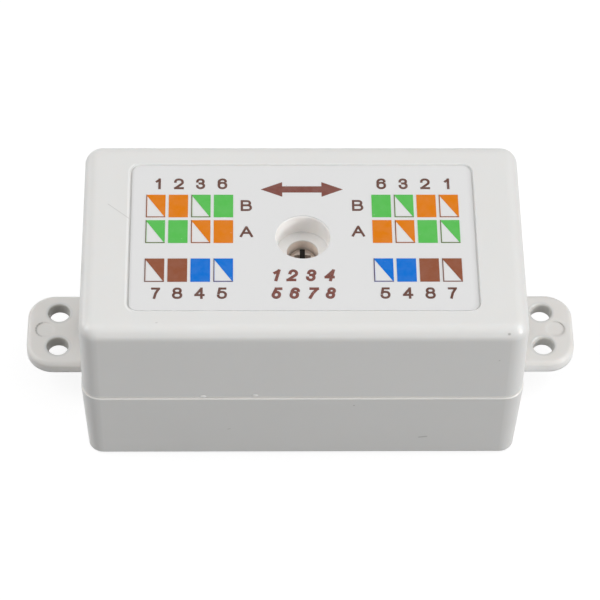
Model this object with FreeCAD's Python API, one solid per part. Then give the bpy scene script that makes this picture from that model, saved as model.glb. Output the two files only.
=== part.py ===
import FreeCAD, Part
import math
import os
from FreeCAD import Vector

# Ethernet junction box. Two network cables meet in a small two-part plastic case: each enters over
# an ear at one end, is tied down there, and its eight wires are punched into two contact blocks.
# X runs along the case from entry to entry, Z is up, and the origin is the middle of the flat
# underside. Lengths are in millimetres, angles in degrees.

# Case shell
case_length = 66.0            # over the rim of the base
case_width = 37.0
case_height = 30.5
parting_z = 15.0              # where the cover meets the base
corner_radius = 2.9
wall = 2.0
floor = 2.0
roof = 2.4
base_draft = 2.4
cover_draft = 0.15
cover_step = 0.18             # the rim of the base shows past the cover by this
top_edge_radius = 2.0
bottom_edge_chamfer = 0.5
rim_chamfer = 0.28            # the sloped edge of the rim, pale where it catches the light
cavity_corner_cut = 0.55       # the corners of the room inside are cut off straight

# Lip of the base inside the cover
lip_height = 1.5
lip_thickness = 0.8
lip_clearance = 0.12

# Ears with the holes for the cable ties
ear_length = 9.1              # past the end of the case
ear_width = 13.5
ear_thickness = 2.0
ear_top_z = 7.8
ear_corner_radius = 4.15
ear_edge_chamfer = 0.5
tie_hole_radius = 1.6
tie_hole_spacing = 6.4
tie_hole_offset = 4.3         # from the end of the case
tie_hole_round = 0.2
ejector_mark_radius = 1.4
ejector_mark_depth = 0.1
ejector_mark_offset = 6.4     # from the end of the case

# Cable entries in the end walls
entry_width = 6.2
entry_corner_radius = 1.5
tongue_depth = 2.6            # how far the cover closes the notch
tongue_clearance = 0.1
tongue_arch = 0.8

# Label panel and screw recess in the top of the cover
panel_length = 51.6
panel_width = 28.1
panel_corner_radius = 1.6
panel_depth = 0.35
panel_bevel = 0.1             # how far the sloped edge of the panel runs in
recess_radius = 3.98
recess_depth = 3.55
recess_round = 0.12
driver_hole_radius = 2.35
screw_head_depth = 4.6        # from the floor of the panel down to the head
boss_wall = 1.6
boss_floor = 1.6

# Cover screw
screw_head_radius = 2.15
screw_head_height = 1.7
screw_head_slope = 0.6
screw_shank_radius = 1.3
screw_clearance = 0.35
pilot_clearance = 0.05
cross_width = 0.75
cross_length = 2.9
cross_depth = 1.1

# Post for the screw, and its gussets
post_radius = 3.7
post_web = 1.2                # solid plastic left under the pilot hole
pilot_spare = 3.95            # empty depth of the pilot hole under the screw's end
gusset_thickness = 1.0
gusset_reach = 7.2

# Circuit board and what carries it
board_thickness = 1.6
board_underside_z = 4.4
board_clearance = 0.5
board_corner_radius = 1.0
board_post_clearance = 0.45
rib_thickness = 1.6
rib_reach = 4.0
rib_x = 24.0
stake_y = 11.0
stake_radius = 1.15
stake_clearance = 0.15
stake_shoulder = 1.3          # how much wider the seat under the board is
stake_head_radius = 1.9
stake_head_height = 0.7

# Contact blocks
ways = 4
way_pitch = 3.9
block_depth = 8.0
block_edge_margin = 0.7       # from the long edge of the board
block_end_margin = 3.65       # from the short edge of the board
block_base_height = 4.2
tower_height = 7.6
tower_wedge = 1.1             # height of the sloped tops
tower_flat = 0.5
end_tower = 2.0
wire_slot = 1.1
blade_groove = 1.5
blade_groove_depth = 4.2

# Forked contacts
contact_width = 2.6
contact_thickness = 0.5
contact_height = 10.0
contact_gap = 0.35
contact_gap_depth = 4.6
contact_mouth = 0.7           # depth of the V that leads the wire in
contact_clearance = 0.05
tail_width = 0.6
tail_past_board = 1.0
tail_clearance = 0.08         # round each tail in its slot through the board

# Printed label
label_clearance = 0.2
label_thickness = 0.15
label_hole_margin = 0.03
ink_thickness = 0.05
field_width = 2.88
field_height = 4.35
field_pitch = 3.37
field_line = 0.15
field_end_margin = 2.16       # from the short edge of the label
back_margin = 5.64            # from the back edge of the label, room for the pin numbers
front_margin = 5.27
row_pitch = 4.93

# Places that follow from the sizes above
UP = Vector(0, 0, 1)
base_slope = math.tan(math.radians(base_draft))
cover_slope = math.tan(math.radians(cover_draft))
panel_z = case_height - panel_depth
board_top_z = board_underside_z + board_thickness
screw_head_z = panel_z - screw_head_depth
screw_seat_z = screw_head_z - screw_head_height
screw_end_z = floor + post_web + pilot_spare
block_length = (ways - 1) * way_pitch + wire_slot + 2 * end_tower
block_height = block_base_height + tower_height


def base_inset(z):
    """How far the drafted wall of the base stands inside the rim at height z."""
    return (parting_z - z) * base_slope


def cover_inset(z):
    """How far the wall of the cover stands inside the rim of the base at height z."""
    return cover_step + (z - parting_z) * cover_slope


def lip_inset(z):
    """The lip and its rebate stand upright, in line with the rim of the base."""
    return 0.0


board_length = case_length - 2 * (base_inset(board_underside_z) + wall + board_clearance)
board_width = case_width - 2 * (base_inset(board_underside_z) + wall + board_clearance)
block_y = board_width / 2 - block_edge_margin - block_depth / 2
label_length = panel_length - 2 * (panel_bevel + label_clearance)
label_width = panel_width - 2 * (panel_bevel + label_clearance)
block_x = board_length / 2 - block_end_margin - block_length / 2


def rounded_wire(length, width, radius, z):
    """A rectangle with rounded corners, centred on the Z axis."""
    x = length / 2 - radius
    y = width / 2 - radius
    centres = [Vector(x, y, z), Vector(-x, y, z), Vector(-x, -y, z), Vector(x, -y, z)]
    arcs = []
    for turn, centre in enumerate(centres):
        arcs.append(Part.makeCircle(radius, centre, UP, 90 * turn, 90 * turn + 90))
    edges = []
    for turn, arc in enumerate(arcs):
        following = arcs[(turn + 1) % len(arcs)]
        edges.append(arc)
        edges.append(Part.makeLine(arc.valueAt(arc.LastParameter),
                                   following.valueAt(following.FirstParameter)))
    return Part.Wire(edges)


def rounded_loft(z_low, low_inset, z_high, high_inset, length, width, radius):
    """A rounded block whose walls lean from one inset to the other."""
    wires = []
    for z, inset in ((z_low, low_inset), (z_high, high_inset)):
        wires.append(rounded_wire(length - 2 * inset, width - 2 * inset, radius - inset, z))
    return Part.makeLoft(wires, True, True)


def shell_block(z_low, z_high, inset_at, extra):
    """The case's outline between two heights, the given distance inside its outer face."""
    return rounded_loft(z_low, inset_at(z_low) + extra, z_high, inset_at(z_high) + extra,
                        case_length, case_width, corner_radius)


def cut_corner_wire(length, width, cut, z):
    """A rectangle with its corners cut off straight, centred on the Z axis."""
    x = length / 2
    y = width / 2
    points = [Vector(x, cut - y, z), Vector(x, y - cut, z), Vector(x - cut, y, z),
              Vector(cut - x, y, z), Vector(-x, y - cut, z), Vector(-x, cut - y, z),
              Vector(cut - x, -y, z), Vector(x - cut, -y, z)]
    return Part.makePolygon(points + points[:1])


def cavity(z_low, z_high, inset_at, extra):
    """The room inside a shell between two heights, the given distance inside its outer face."""
    wires = []
    for z in (z_low, z_high):
        inset = inset_at(z) + extra
        wires.append(cut_corner_wire(case_length - 2 * inset, case_width - 2 * inset,
                                     cavity_corner_cut, z))
    return Part.makeLoft(wires, True, True)


def edges_at(shape, z):
    """The edges of a shape that lie wholly at height z."""
    found = []
    for edge in shape.Edges:
        box = edge.BoundBox
        if abs(box.ZMin - z) < 1e-6 and abs(box.ZMax - z) < 1e-6:
            found.append(edge)
    return found


def box(x_low, x_high, y_low, y_high, z_low, z_high):
    """A plain block between two corners."""
    return Part.makeBox(x_high - x_low, y_high - y_low, z_high - z_low,
                        Vector(x_low, y_low, z_low))


def cylinder(radius, z_low, z_high, x=0.0, y=0.0):
    """An upright cylinder between two heights."""
    return Part.makeCylinder(radius, z_high - z_low, Vector(x, y, z_low), UP)


def prism_along_y(points, y_low, y_high):
    """A polygon of X and Z values drawn out along Y."""
    corners = [Vector(x, y_low, z) for x, z in points]
    face = Part.Face(Part.makePolygon(corners + corners[:1]))
    return face.extrude(Vector(0, y_high - y_low, 0))


def end_notch(side, width, z_low, z_high, x_inner, x_outer):
    """A notch through an end wall, with its two lower corners rounded."""
    low, high = sorted((side * x_inner, side * x_outer))
    notch = box(low, high, -width / 2, width / 2, z_low, z_high)
    lower = [edge for edge in edges_at(notch, z_low) if edge.BoundBox.XLength > edge.BoundBox.YLength]
    return notch.makeFillet(entry_corner_radius, lower)


def ear(side):
    """One flat ear, from the middle of the end wall out, with its softened edges."""
    x_root = case_length / 2 - base_inset(ear_top_z) - wall / 2
    x_end = case_length / 2 + ear_length
    z_low = ear_top_z - ear_thickness
    plate = box(x_root, x_end, -ear_width / 2, ear_width / 2, z_low, ear_top_z)
    corners = []
    for edge in plate.Edges:
        if edge.BoundBox.ZLength > ear_thickness / 2 and edge.BoundBox.XMin > x_root + 1e-6:
            corners.append(edge)
    plate = plate.makeFillet(ear_corner_radius, corners)
    rims = [edge for edge in edges_at(plate, ear_top_z) if edge.BoundBox.XMax > x_root + 1e-6]
    plate = plate.makeChamfer(ear_edge_chamfer, rims)
    if side < 0:
        plate.rotate(Vector(0, 0, 0), UP, 180)
    return plate


def tie_holes(side):
    """The two holes of an ear, widened softly at the top."""
    x = side * (case_length / 2 + tie_hole_offset)
    holes = []
    for y in (-tie_hole_spacing / 2, tie_hole_spacing / 2):
        hole = cylinder(tie_hole_radius, ear_top_z - 2 * ear_thickness, ear_top_z, x, y)
        mouth_low = ear_top_z - tie_hole_round
        mouth = Part.makeCone(tie_hole_radius, tie_hole_radius + tie_hole_round, tie_hole_round,
                              Vector(x, y, mouth_low), UP)
        holes.append(hole.fuse(mouth))
    return holes


def ejector_mark(side):
    """The shallow round print of an ejector pin on an ear."""
    x = side * (case_length / 2 + ejector_mark_offset)
    return cylinder(ejector_mark_radius, ear_top_z - ejector_mark_depth,
                    ear_top_z + ejector_mark_depth, x)


def screw_post():
    """The post that takes the cover screw, with four gussets under the board."""
    post = cylinder(post_radius, floor / 2, parting_z)
    gusset_z = board_underside_z - board_clearance
    for quarter in range(4):
        outline = [(0, floor / 2), (gusset_reach, floor / 2), (gusset_reach, floor),
                   (post_radius, gusset_z), (0, gusset_z)]
        gusset = prism_along_y(outline, -gusset_thickness / 2, gusset_thickness / 2)
        gusset.rotate(Vector(0, 0, 0), UP, 90 * quarter)
        post = post.fuse(gusset)
    pilot = cylinder(screw_shank_radius + pilot_clearance, floor + post_web, parting_z)
    return post.cut(pilot)


def board_ribs():
    """Four ribs along the long walls that carry the board."""
    ribs = []
    y_wall = case_width / 2 - base_inset(floor) - wall / 2
    y_inner = case_width / 2 - base_inset(board_underside_z) - wall - rib_reach
    for x in (-rib_x, rib_x):
        for side in (-1, 1):
            low, high = sorted((side * y_inner, side * y_wall))
            ribs.append(box(x - rib_thickness / 2, x + rib_thickness / 2, low, high,
                            floor / 2, board_underside_z))
    return ribs


def board_stakes():
    """Two pins that pass through the board and are melted over it into flat round heads."""
    stakes = []
    for y in (-stake_y, stake_y):
        shoulder = cylinder(stake_radius + stake_shoulder, floor / 2, board_underside_z, 0, y)
        pin = cylinder(stake_radius, floor, board_top_z + stake_head_height / 2, 0, y)
        head = cylinder(stake_head_radius, board_top_z, board_top_z + stake_head_height, 0, y)
        stakes.append(shoulder.fuse([pin, head]))
    return stakes


def base_lip():
    """The thin wall that stands inside the cover."""
    outer = shell_block(parting_z, parting_z + lip_height, lip_inset, wall - lip_thickness)
    inner = cavity(parting_z, parting_z + lip_height, lip_inset, wall)
    return outer.cut(inner)


def base():
    """The lower shell: ears, cable notches, screw post, board ribs, stakes and lip in one moulding."""
    outside = shell_block(0, parting_z, base_inset, 0)
    outside = outside.makeChamfer(bottom_edge_chamfer, edges_at(outside, 0))
    outside = outside.makeChamfer(rim_chamfer, edges_at(outside, parting_z))
    inside = cavity(floor, parting_z, base_inset, wall)
    shell = outside.cut(inside)
    shell = shell.fuse([ear(1), ear(-1), base_lip()])
    cuts = []
    for side in (-1, 1):
        cuts.extend(tie_holes(side))
        cuts.append(ejector_mark(side))
        cuts.append(end_notch(side, entry_width, ear_top_z, case_height,
                              case_length / 2 - 2 * wall, case_length / 2 + wall))
    shell = shell.cut(cuts)
    shell = shell.fuse([screw_post()] + board_ribs() + board_stakes())
    return shell.removeSplitter()


def panel_cut():
    """The shallow label panel with its sloped edge."""
    return rounded_loft(panel_z, panel_bevel, case_height + panel_depth,
                        -panel_bevel, panel_length, panel_width, panel_corner_radius)


def screw_boss():
    """The stepped tube that hangs from the roof around the screw."""
    shoulder_z = panel_z - recess_depth
    wide = cylinder(recess_radius + boss_wall, shoulder_z - boss_floor, case_height - roof / 2)
    narrow = cylinder(driver_hole_radius + boss_wall, parting_z, shoulder_z)
    return wide.fuse(narrow)


def recess_cuts():
    """The room for the screw: wide recess, driver hole and the shank's hole below the seat."""
    shoulder_z = panel_z - recess_depth
    wide = cylinder(recess_radius, shoulder_z, panel_z)
    mouth = Part.makeCone(recess_radius, recess_radius + recess_round, recess_round,
                          Vector(0, 0, panel_z - recess_round), UP)
    driver = cylinder(driver_hole_radius, screw_seat_z, panel_z)
    shank = cylinder(screw_shank_radius + screw_clearance, parting_z, screw_seat_z)
    return [wide, mouth, driver, shank]


def cable_tongue(side):
    """The part of the cover that reaches down into a cable notch, arched over the cable."""
    half = entry_width / 2 - tongue_clearance
    x_outer = case_length / 2 - base_inset(parting_z - tongue_depth) - tongue_clearance
    x_inner = case_length / 2 - wall
    z_low = parting_z - tongue_depth
    low, high = sorted((side * x_inner, side * x_outer))
    tongue = box(low, high, -half, half, z_low, parting_z + lip_height + wall)
    radius = (half ** 2 + tongue_arch ** 2) / (2 * tongue_arch)
    arch = Part.makeCylinder(radius, case_length, Vector(-case_length / 2, 0,
                             z_low + tongue_arch - radius), Vector(1, 0, 0))
    return tongue.cut(arch)


def cover():
    """The upper shell: label panel, screw recess and boss, rebate for the lip and cable tongues."""
    outside = shell_block(parting_z, case_height, cover_inset, 0)
    outside = outside.makeFillet(top_edge_radius, edges_at(outside, case_height))
    inside = cavity(parting_z, case_height - roof, cover_inset, wall - cover_step)
    rebate = shell_block(parting_z, parting_z + lip_height + lip_clearance, lip_inset,
                         wall - lip_thickness - lip_clearance)
    shell = outside.cut([inside, rebate])
    shell = shell.fuse([screw_boss(), cable_tongue(-1), cable_tongue(1)])
    shell = shell.cut([panel_cut()] + recess_cuts())
    return shell.removeSplitter()


def cover_screw():
    """A blunt pan-head tapping screw with a cross recess. The thread isn't cut."""
    slope_z = screw_head_z - screw_head_slope
    head = cylinder(screw_head_radius, screw_seat_z, slope_z)
    top = Part.makeCone(screw_head_radius, screw_head_radius - screw_head_slope, screw_head_slope,
                        Vector(0, 0, slope_z), UP)
    shank = cylinder(screw_shank_radius, screw_end_z, screw_seat_z)
    screw = head.fuse([top, shank])
    for quarter in range(2):
        half = cross_length / 2
        foot = cross_width / 2
        outline = [(-half, screw_head_z), (-foot, screw_head_z - cross_depth),
                   (foot, screw_head_z - cross_depth), (half, screw_head_z)]
        slot = prism_along_y(outline, -cross_width / 2, cross_width / 2)
        slot.rotate(Vector(0, 0, 0), UP, 90 * quarter)
        screw = screw.cut(slot)
    return screw.removeSplitter()


def way_places(x_sign, y_sign):
    """Where the wire slots of one block stand."""
    places = []
    for way in range(ways):
        offset = (way - (ways - 1) / 2) * way_pitch
        places.append((x_sign * block_x + offset, y_sign * block_y))
    return places


def circuit_board():
    """The board, with holes for the post and the stakes, and slots for the contact tails."""
    outline = rounded_wire(board_length, board_width, board_corner_radius, board_underside_z)
    board = Part.Face(outline).extrude(Vector(0, 0, board_thickness))
    holes = [cylinder(post_radius + board_post_clearance, board_underside_z, board_top_z)]
    for y in (-stake_y, stake_y):
        holes.append(cylinder(stake_radius + stake_clearance, board_underside_z, board_top_z, 0, y))
    slot_x = tail_width / 2 + tail_clearance
    slot_y = contact_thickness / 2 + tail_clearance
    for x_sign in (-1, 1):
        for y_sign in (-1, 1):
            for x, y in way_places(x_sign, y_sign):
                holes.append(box(x - slot_x, x + slot_x, y - slot_y, y + slot_y,
                                 board_underside_z, board_top_z))
    return board.cut(holes)


def tower_outline():
    """The side view of a block: wedge-topped towers with a wire slot between each two."""
    half = block_length / 2
    top = block_height
    points = [(-half, 0), (-half, top - tower_wedge)]
    left = -half
    for way in range(ways + 1):
        right = half
        if way < ways:
            right = (way - (ways - 1) / 2) * way_pitch - wire_slot / 2
        middle = (left + right) / 2
        if way > 0:
            points.append((left, block_base_height))
            points.append((left, top - tower_wedge))
        points.append((middle - tower_flat / 2, top))
        points.append((middle + tower_flat / 2, top))
        points.append((right, top - tower_wedge))
        if way < ways:
            points.append((right, block_base_height))
        left = right + wire_slot
    points.append((half, 0))
    return points


def contact_block(x_sign, y_sign):
    """One block of four ways, with a groove for the punch-down blade and pockets for contacts."""
    block = prism_along_y(tower_outline(), -block_depth / 2, block_depth / 2)
    groove_z = block_height - blade_groove_depth
    half = block_length / 2
    groove = box(-half, half, -blade_groove / 2, blade_groove / 2, groove_z, block_height)
    block = block.cut(groove)
    pocket_x = contact_width / 2 + contact_clearance
    pocket_y = contact_thickness / 2 + contact_clearance
    for way in range(ways):
        x = (way - (ways - 1) / 2) * way_pitch
        block = block.cut(box(x - pocket_x, x + pocket_x, -pocket_y, pocket_y, 0, groove_z))
    block.translate(Vector(x_sign * block_x, y_sign * block_y, board_top_z))
    return block


def contact(x, y):
    """A flat fork that cuts into the wire, with a tail that is soldered through the board."""
    half = contact_width / 2
    gap = contact_gap / 2
    tail = tail_width / 2
    tail_z = -board_thickness - tail_past_board
    mouth = contact_gap / 2 + contact_mouth / 2
    top = contact_height
    outline = [(-half, 0), (-half, top), (-mouth, top), (-gap, top - contact_mouth),
               (-gap, top - contact_gap_depth), (gap, top - contact_gap_depth),
               (gap, top - contact_mouth), (mouth, top), (half, top), (half, 0),
               (tail, 0), (tail, tail_z), (-tail, tail_z), (-tail, 0)]
    blade = prism_along_y(outline, -contact_thickness / 2, contact_thickness / 2)
    blade.translate(Vector(x, y, board_top_z))
    return blade


def label():
    """The paper label that fills the panel around the screw recess."""
    corner = panel_corner_radius - panel_bevel - label_clearance
    outline = rounded_wire(label_length, label_width, corner, panel_z)
    sheet = Part.Face(outline).extrude(Vector(0, 0, label_thickness))
    hole_radius = recess_radius + recess_round + label_hole_margin
    return sheet.cut(cylinder(hole_radius, panel_z, panel_z + label_thickness))


def colour_field(x, y, striped):
    """One printed wire colour: a full field, or half of one inside a thin line."""
    z = panel_z + label_thickness
    left = x - field_width / 2
    right = x + field_width / 2
    low = y - field_height / 2
    high = y + field_height / 2
    full = box(left, right, low, high, z, z + ink_thickness)
    if not striped:
        return full
    inner_left = left + field_line
    inner_low = low + field_line
    slope = (high - inner_low) / (right - inner_left)
    corners = [Vector(inner_left, inner_low, z), Vector(right - field_line, inner_low, z),
               Vector(inner_left, inner_low + slope * (right - field_line - inner_left), z)]
    white = Part.Face(Part.makePolygon(corners + corners[:1]))
    return full.cut(white.extrude(Vector(0, 0, ink_thickness)))


def printed_fields():
    """Every colour field of the label, grouped by colour. Pins 1 to 8 follow the two wirings."""
    wiring_b = {1: ("orange", True), 2: ("orange", False), 3: ("green", True), 6: ("green", False)}
    wiring_a = {1: ("green", True), 2: ("green", False), 3: ("orange", True), 6: ("orange", False)}
    both = {4: ("blue", False), 5: ("blue", True), 7: ("brown", True), 8: ("brown", False)}
    row_b = label_width / 2 - back_margin - field_height / 2
    row_c = front_margin + field_height / 2 - label_width / 2
    rows = [(row_b, wiring_b, (1, 2, 3, 6), (6, 3, 2, 1)),
            (row_b - row_pitch, wiring_a, (1, 2, 3, 6), (6, 3, 2, 1)),
            (row_c, both, (7, 8, 4, 5), (5, 4, 8, 7))]
    outer = label_length / 2 - field_end_margin
    inner = outer - (ways - 1) * field_pitch - field_width
    fields = {}
    for y, colours, left_pins, right_pins in rows:
        for start, pins in ((-outer, left_pins), (inner, right_pins)):
            for place, pin in enumerate(pins):
                colour, striped = colours[pin]
                x = start + field_width / 2 + place * field_pitch
                fields.setdefault(colour, []).append(colour_field(x, y, striped))
    return fields


def save(node, shape):
    """Writes one piece to its file, and prints what it is made of."""
    shape.exportStep(f"parts/{node}.step")
    print(node, len(shape.Solids), "solid", round(shape.Volume, 2), "mm3", shape.isValid())


os.makedirs("parts", exist_ok=True)
save("base", base())
save("cover", cover())
save("cover_screw", cover_screw())
save("circuit_board", circuit_board())
for end, x_sign in (("left", -1), ("right", 1)):
    for side, y_sign in (("front", -1), ("back", 1)):
        save(f"contact_block_{end}_{side}", contact_block(x_sign, y_sign))
        for number, (x, y) in enumerate(way_places(x_sign, y_sign), start=1):
            save(f"contact_{end}_{side}_{number}", contact(x, y))
save("label", label())
for colour, fields in printed_fields().items():
    save(f"print_{colour}", Part.makeCompound(fields))
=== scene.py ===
# %% [markdown]
# # Ethernet junction box
# Two network cables meet in this small white box. Each one comes in over an ear at one end, and its
# eight wires are punched down into contact blocks inside. The solids come from a CAD model. This
# lesson gives them their plastics, metals and inks, and adds what a CAD model leaves out: the printed
# numbers, a screw thread, solder, copper tracks, the small marks of use, and some painted light and shade.
#
# Everything is in metres, in the CAD model's own frame: X runs along the box from ear to ear, Y points
# to the back, Z points up, and the underside lies at Z = 0.

# %% Load the fixed model
import math

import bmesh
import bpy
from mathutils import Matrix, Vector


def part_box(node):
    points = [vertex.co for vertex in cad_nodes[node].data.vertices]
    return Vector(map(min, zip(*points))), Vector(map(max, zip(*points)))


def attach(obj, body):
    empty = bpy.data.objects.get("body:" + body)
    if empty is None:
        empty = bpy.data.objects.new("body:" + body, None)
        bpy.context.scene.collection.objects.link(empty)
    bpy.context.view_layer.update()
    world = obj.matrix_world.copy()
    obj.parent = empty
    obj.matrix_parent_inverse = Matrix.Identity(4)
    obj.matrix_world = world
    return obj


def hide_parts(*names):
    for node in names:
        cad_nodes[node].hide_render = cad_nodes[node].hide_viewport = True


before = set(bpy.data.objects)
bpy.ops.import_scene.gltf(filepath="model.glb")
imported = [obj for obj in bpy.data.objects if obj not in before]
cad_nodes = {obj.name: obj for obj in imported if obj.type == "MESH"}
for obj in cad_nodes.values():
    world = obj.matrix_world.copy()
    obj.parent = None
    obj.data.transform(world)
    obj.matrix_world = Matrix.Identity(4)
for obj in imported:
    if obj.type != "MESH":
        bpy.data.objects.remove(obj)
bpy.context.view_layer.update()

MM = 0.001


def add_object(name, data):
    """Puts a camera, a lamp or a mesh into the scene. Returns its object."""
    item = bpy.data.objects.new(name, data)
    bpy.context.scene.collection.objects.link(item)
    return item


def empty_tree(owner):
    """Gives a material or the world a node tree without nodes. Returns the tree."""
    owner.use_nodes = True
    owner.node_tree.nodes.clear()
    return owner.node_tree


# %% [markdown]
# ## Camera
# A long lens from well above shows the label without much perspective. The place and the turn were
# worked out from where the corners of the case fall in the picture. The three axes of the camera are
# built first, then rolled a little, because the picture itself leans by just over a degree.

# %% Place the camera
CAMERA_PLACE = Vector((-8.892, -273.028, 365.469)) * MM
CAMERA_ROUND = math.radians(-1.821)
CAMERA_ABOVE = math.radians(52.06)
CAMERA_ROLL = math.radians(1.385)
LENS = 175.02

backward = Vector((math.sin(CAMERA_ROUND) * math.cos(CAMERA_ABOVE),
                   -math.cos(CAMERA_ROUND) * math.cos(CAMERA_ABOVE),
                   math.sin(CAMERA_ABOVE)))
level_right = Vector((math.cos(CAMERA_ROUND), math.sin(CAMERA_ROUND), 0))
level_up = backward.cross(level_right)
right = math.cos(CAMERA_ROLL) * level_right + math.sin(CAMERA_ROLL) * level_up
upward = math.cos(CAMERA_ROLL) * level_up - math.sin(CAMERA_ROLL) * level_right

camera = add_object("camera", bpy.data.cameras.new("camera"))
camera.data.lens = LENS
axes = Matrix((right, upward, backward)).transposed().to_4x4()
camera.matrix_world = Matrix.Translation(CAMERA_PLACE) @ axes
bpy.context.scene.camera = camera
print("camera", round(CAMERA_PLACE.length / MM), "mm from the box")

# %% [markdown]
# ## Building node trees
# Every material, shader group and Geometry Nodes tree below is a list of nodes with values and links.
# One helper adds a node: each input is either a plain value or the output of another node, which is
# then linked. A second helper opens a new group with named inputs and outputs. The helpers for values
# find the tree by the outputs that they are given.

# %% Helpers for nodes and groups
NUMBER, VECTOR, COLOUR = "NodeSocketFloat", "NodeSocketVector", "NodeSocketColor"
GEOMETRY = "NodeSocketGeometry"


def add(tree, kind, inputs=(), **settings):
    """Adds a node. inputs maps a socket's name or number to a value or to another node's output."""
    node = tree.nodes.new(kind)
    for name, value in settings.items():
        setattr(node, name, value)
    for socket, value in dict(inputs).items():
        if isinstance(value, bpy.types.NodeSocket):
            tree.links.new(value, node.inputs[socket])
        else:
            node.inputs[socket].default_value = value
    return node


def new_group(name, kind, inputs, outputs):
    """Opens a node group. Returns the tree, its input sockets and its output node.

    inputs and outputs map each name to a socket type, or to the number that a plain number starts from.
    """
    tree = bpy.data.node_groups.new(name, kind)
    for side, sockets in (("INPUT", inputs), ("OUTPUT", outputs)):
        for label, value in sockets.items():
            socket_type = value if isinstance(value, str) else NUMBER
            socket = tree.interface.new_socket(label, in_out=side, socket_type=socket_type)
            if socket_type != value:
                socket.default_value = value
    start = tree.nodes.new("NodeGroupInput")
    end = tree.nodes.new("NodeGroupOutput")
    return tree, start.outputs, end


def connect(tree, end, outputs):
    """Links a group's results to its output node."""
    for label, value in outputs.items():
        tree.links.new(value, end.inputs[label])
    print(tree.name, "has", len(tree.nodes), "nodes")


# %% Helpers for arithmetic
def tree_of(*values):
    """The node tree of the first output among some values."""
    return next(value.id_data for value in values if isinstance(value, bpy.types.NodeSocket))


def calculate(operation, first, second=0.0, third=0.0):
    """A Math node. Returns its result."""
    node = add(tree_of(first, second, third), "ShaderNodeMath", {0: first, 1: second, 2: third},
               operation=operation)
    return node.outputs[0]


def product(first, *others):
    """The product of several values."""
    for other in others:
        first = calculate("MULTIPLY", first, other)
    return first


# %% [markdown]
# ## Room, floor and lamps
# The box lies on a plain pale sheet under soft lamps, as in a catalogue picture. The sheet and the
# room look white to the camera and in reflections through Light Path, while the light that falls on
# the box stays at a plain level. The sheet still takes the box's shadow. Most light comes from above,
# so the top is the palest side. A lamp in front on the right makes the right corner paler than the left
# one, a low one in front lights the long side, and a low one at the back left draws a light line along
# the upper left edge.

# %% World
ROOM_LIGHT = 0.15
ROOM_COLOUR = (1, 0.995, 0.985, 1)
WHITE = (1, 1, 1, 1)


def seen_directly(tree):
    """1 for what the camera sees, also in a mirror or through glass, and 0 for light on the box."""
    path = add(tree, "ShaderNodeLightPath").outputs
    seen = calculate("MAXIMUM", path["Is Camera Ray"], path["Is Glossy Ray"])
    return calculate("MAXIMUM", seen, path["Is Transmission Ray"])


bpy.context.scene.view_settings.view_transform = "Standard"
bpy.context.scene.world = bpy.data.worlds.new("studio")
tree = empty_tree(bpy.context.scene.world)
room = add(tree, "ShaderNodeBackground", {"Color": ROOM_COLOUR, "Strength": ROOM_LIGHT})
white = add(tree, "ShaderNodeBackground", {"Color": WHITE, "Strength": 1.0})
mixed = add(tree, "ShaderNodeMixShader",
            {0: seen_directly(tree), 1: room.outputs[0], 2: white.outputs[0]})
add(tree, "ShaderNodeOutputWorld", {"Surface": mixed.outputs[0]})
print("room light", ROOM_LIGHT)

# %% Floor
FLOOR_HALF = 1.5
FLOOR_COLOUR = (0.22, 0.22, 0.22, 1)
FLOOR_LIFT = 0.86             # how much whiter the camera sees the sheet than its own light makes it

sheet_mesh = bpy.data.meshes.new("floor")
corners = [(FLOOR_HALF * x, FLOOR_HALF * y, 0) for x, y in ((-1, -1), (1, -1), (1, 1), (-1, 1))]
sheet_mesh.from_pydata(corners, [], [(0, 1, 2, 3)])
add_object("floor", sheet_mesh)

paper = bpy.data.materials.new("floor sheet")
tree = empty_tree(paper)
matt = add(tree, "ShaderNodeBsdfDiffuse", {"Color": FLOOR_COLOUR})
lift = product(seen_directly(tree), FLOOR_LIFT)
glow = add(tree, "ShaderNodeEmission", {"Color": WHITE, "Strength": lift})
both = add(tree, "ShaderNodeAddShader", {0: matt.outputs[0], 1: glow.outputs[0]})
add(tree, "ShaderNodeOutputMaterial", {"Surface": both.outputs[0]})
sheet_mesh.materials.append(paper)
print("floor", 2 * FLOOR_HALF, "m wide")

# %% Lamps
LAMPS = {
    # name: (place in metres, width in metres, watts)
    "overhead softbox": ((0.0, 0.0, 0.90), 1.40, 3.6),
    "high right softbox": ((0.60, 0.10, 0.70), 0.40, 2.15),
    "high left softbox": ((-0.60, 0.10, 0.70), 0.40, 2.1),
    "front right softbox": ((0.85, -0.45, 0.30), 0.16, 3.7),
    "front left spot": ((-0.85, -0.45, 0.30), 0.06, 0.1),
    "low front softbox": ((0.0, -0.90, 0.16), 0.30, 1.15),
    "back left softbox": ((-0.85, 0.45, 0.22), 0.25, 1.7),
}

for name, (place, width, watts) in LAMPS.items():
    lamp = bpy.data.lights.new(name, "AREA")
    lamp.shape = "SQUARE"
    lamp.size = width
    lamp.energy = watts
    stand = add_object(name, lamp)
    stand.location = place
    stand.rotation_euler = (-Vector(place)).to_track_quat("-Z", "Y").to_euler()
print(len(LAMPS), "lamps")

# %% [markdown]
# ## Shader groups
# An effect that several finishes share is a node group with named inputs, built once. Each group gives
# out only colours, masks, heights or normals, and the shader itself stays in each material.
#
# The first is the skin of a moulded plastic part. Under a lamp such a part is never one flat tone: it
# has faint clouds where the plastic cooled, a very fine grain from the mould, and a slow waviness.

# %% Helpers for values that change over a surface
def noise(place, scale, detail):
    """A Noise Texture. Returns its level."""
    node = add(place.id_data, "ShaderNodeTexNoise", {"Vector": place, "Scale": scale, "Detail": detail})
    return node.outputs["Fac"]


def remap(value, low, high, new_low=0.0, new_high=1.0):
    """A clamped Map Range node. Returns its result."""
    node = add(value.id_data, "ShaderNodeMapRange",
               {"Value": value, "From Min": low, "From Max": high, "To Min": new_low, "To Max": new_high})
    return node.outputs["Result"]


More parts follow.
